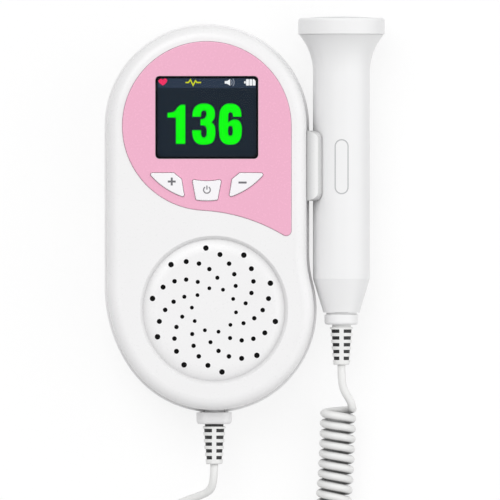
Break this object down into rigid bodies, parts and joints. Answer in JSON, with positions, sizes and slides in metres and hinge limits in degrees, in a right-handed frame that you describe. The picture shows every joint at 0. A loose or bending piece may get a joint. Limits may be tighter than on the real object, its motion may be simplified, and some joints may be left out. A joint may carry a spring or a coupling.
{
  "type": "fetal doppler monitor",
  "caption": "Hand-held fetal heart monitor with a colour display, keys and a speaker grille; its ultrasound probe rests in a side clip and joins it by a curly cord.",
  "frame": {"origin": "centre of the housing's round upper end, on the flat back face that the unit lies on", "axes": "+X to the right of someone who reads the display, +Y from the cord end towards the display end, +Z out of the front face; the probe's axis is along Y"},
  "size_m": [0.0962, 0.2167, 0.0301],
  "materials": {
    "housing_white": "moulded ABS, soft gloss",
    "panel_pink": "pink gloss label sheet",
    "window_dark": "dark clear acrylic, gloss",
    "key_white": "moulded ABS, soft gloss",
    "probe_white": "moulded ABS, soft gloss",
    "acoustic_grey": "cast epoxy window",
    "cord_white": "flexible PVC, satin",
    "foam_black": "closed-cell foam",
    "lcd_metal": "bezel and backlight",
    "tape_white": "double-sided foam tape",
    "board_green": "glass epoxy laminate",
    "chip_black": "moulded epoxy",
    "screw_steel": "zinc plated",
    "spring_steel": "nickel plated",
    "speaker_steel": "pressed steel",
    "speaker_paper": "coated paper",
    "mesh_black": "woven dust mesh",
    "magnet_dark": "ferrite and steel plate",
    "cell_blue": "plain wrapped cell",
    "jack_black": "moulded nylon",
    "crystal_ceramic": "silvered piezo ceramic",
    "backing_dark": "filled epoxy damping block"
  },
  "bodies": {
    "unit": {"front_housing": "housing_white", "rear_housing": "housing_white", "front_panel": "panel_pink", "display_window": "window_dark", "lcd_gasket": "foam_black", "lcd_module": "lcd_metal", "lcd_mounting_tape": "tape_white", "main_circuit_board": "board_green", "board_components": "chip_black", "board_screws": "screw_steel", "case_screws": "screw_steel", "clip_screws": "screw_steel", "switch_bodies": "chip_black", "speaker_mesh": "mesh_black", "speaker_basket": "speaker_steel", "speaker_cone": "speaker_paper", "speaker_magnet": "magnet_dark", "left_battery_cell": "cell_blue", "right_battery_cell": "cell_blue", "left_battery_spring": "spring_steel", "right_battery_spring": "spring_steel", "battery_contacts": "spring_steel", "headphone_jack": "jack_black", "probe_clip": "housing_white", "unit_gland": "housing_white", "unit_boot": "cord_white", "unit_lead": "cord_white", "curly_cord": "cord_white", "probe_lead": "cord_white"},
    "plus_key": {"plus_key": "key_white", "plus_switch_stem": "key_white"},
    "power_key": {"power_key": "key_white", "power_switch_stem": "key_white"},
    "minus_key": {"minus_key": "key_white", "minus_switch_stem": "key_white"},
    "battery_door": {"battery_door": "housing_white"},
    "probe": {"probe_handle_front": "probe_white", "probe_handle_rear": "probe_white", "probe_head": "probe_white", "probe_window": "acoustic_grey", "sending_crystal": "crystal_ceramic", "receiving_crystal": "crystal_ceramic", "backing_block": "backing_dark", "probe_circuit_board": "board_green", "probe_collar": "probe_white", "probe_boot": "cord_white"}
  },
  "joints": [
    {"name": "plus_key_press", "type": "slide", "parent": "unit", "child": "plus_key", "axis": [0, 0, -1], "range_m": [0, 0.0006], "stiffness_N_per_m": 1200, "springref_m": -0.0003},
    {"name": "power_key_press", "type": "slide", "parent": "unit", "child": "power_key", "axis": [0, 0, -1], "range_m": [0, 0.0006], "stiffness_N_per_m": 1200, "springref_m": -0.0003},
    {"name": "minus_key_press", "type": "slide", "parent": "unit", "child": "minus_key", "axis": [0, 0, -1], "range_m": [0, 0.0006], "stiffness_N_per_m": 1200, "springref_m": -0.0003},
    {"name": "battery_door_hinge", "type": "hinge", "parent": "unit", "child": "battery_door", "pos_m": [0, -0.00685, 0], "axis": [1, 0, 0], "range_deg": [0, 35]},
    {"name": "probe_lift_out", "type": "slide", "parent": "unit", "child": "probe", "axis": [0.7431, 0, 0.6691], "range_m": [0, 0.03]}
  ]
}
